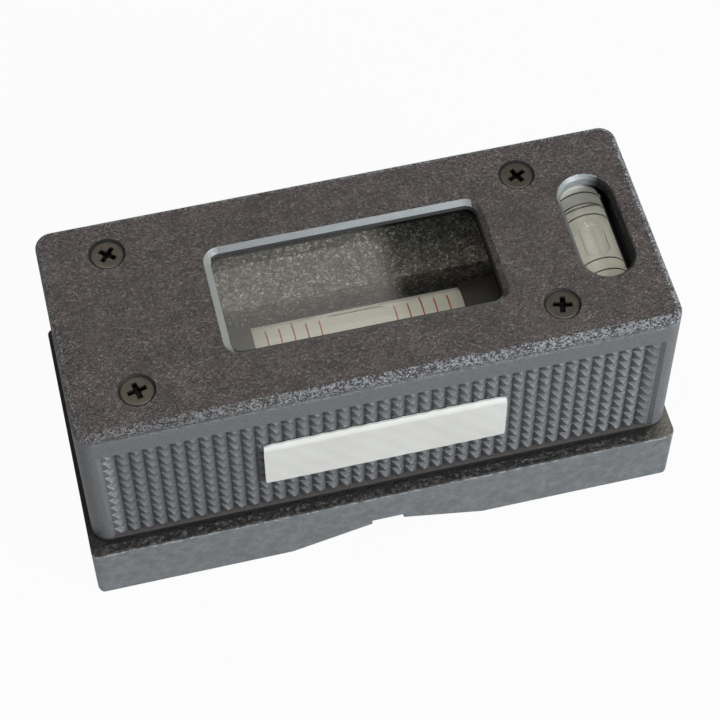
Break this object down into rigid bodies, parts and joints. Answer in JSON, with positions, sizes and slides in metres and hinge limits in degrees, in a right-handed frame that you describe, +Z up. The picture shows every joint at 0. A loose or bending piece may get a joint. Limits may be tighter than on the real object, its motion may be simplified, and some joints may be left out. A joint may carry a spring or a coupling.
{
  "type": "crankshaft level",
  "caption": "Block spirit level for crank pins: ground cast sole with a transverse prism, knurled hood, long main vial under a window and a cross vial in a slot.",
  "frame": {"origin": "middle of the sole, at the level of its two flats", "axes": "+X along the level towards the cross vial, +Y across it away from the label, +Z up"},
  "size_m": [0.108, 0.05, 0.048],
  "materials": {
    "cast_base": "ground faces, rough dark cast ledge",
    "seal_rubber": "matt black",
    "hood_plastic": "eroded grain on top, satin sides",
    "clear_pane": "clear",
    "screw_steel": "browned",
    "label_sheet": "satin cream",
    "bright_steel": "bright turned",
    "vial_glass": "clear ground tube",
    "vial_liquid": "clear spirit",
    "bubble_vapour": "clear vapour",
    "red_enamel": "fired red lines",
    "black_enamel": "fired black rings",
    "cream_lining": "matt cream",
    "white_plaster": "matt plaster",
    "dark_sleeve": "black anodised",
    "holder_plastic": "matt black"
  },
  "bodies": {
    "root": {"base_body": "cast_base", "foot_seal": "seal_rubber", "housing": "hood_plastic", "window_pane": "clear_pane", "pane_seal": "seal_rubber", "housing_screws": "screw_steel", "label_plate": "label_sheet", "pivot_pin": "bright_steel", "adjusting_spring": "bright_steel", "cross_vial_tube": "vial_glass", "cross_vial_plugs": "white_plaster", "cross_vial_liquid": "vial_liquid", "cross_graduations": "black_enamel", "cross_reflector": "cream_lining", "cross_packings": "white_plaster", "cross_holder": "holder_plastic", "cross_holder_screws": "bright_steel"},
    "carrier": {"vial_sleeve": "dark_sleeve", "main_vial_tube": "vial_glass", "main_vial_plugs": "vial_glass", "main_vial_liquid": "vial_liquid", "main_graduations": "red_enamel", "main_reflector": "cream_lining", "main_packings": "white_plaster"},
    "main_bubble_slug": {"main_bubble": "bubble_vapour"},
    "cross_bubble_slug": {"cross_bubble": "bubble_vapour"},
    "washer": {"adjusting_washer": "bright_steel"},
    "adjuster": {"adjusting_screw": "bright_steel"}
  },
  "joints": [
    {"name": "main_bubble_slide", "type": "slide", "parent": "carrier", "child": "main_bubble_slug", "axis": [1, 0, 0], "range_m": [-0.0135, 0.0135]},
    {"name": "cross_bubble_slide", "type": "slide", "parent": "root", "child": "cross_bubble_slug", "axis": [0, 1, 0], "range_m": [-0.006, 0.006]},
    {"name": "carrier_tilt", "type": "hinge", "parent": "root", "child": "carrier", "pos_m": [-0.0306, 0, 0.0265], "axis": [0, 1, 0], "range_deg": [-0.245, 0.245]},
    {"name": "washer_travel", "type": "slide", "parent": "root", "child": "washer", "axis": [0, 0, 1], "range_m": [-0.00029, 0.00029]},
    {"name": "adjusting_turn", "type": "hinge", "parent": "washer", "child": "adjuster", "pos_m": [0.0344, 0, 0.0265], "axis": [0, 0, 1], "range_deg": [-201, 201]}
  ],
  "couplings": [
    {"joint": "adjusting_turn", "follows": "carrier_tilt", "ratio": -816.81},
    {"joint": "washer_travel", "follows": "carrier_tilt", "m_per_rad": -0.065}
  ]
}
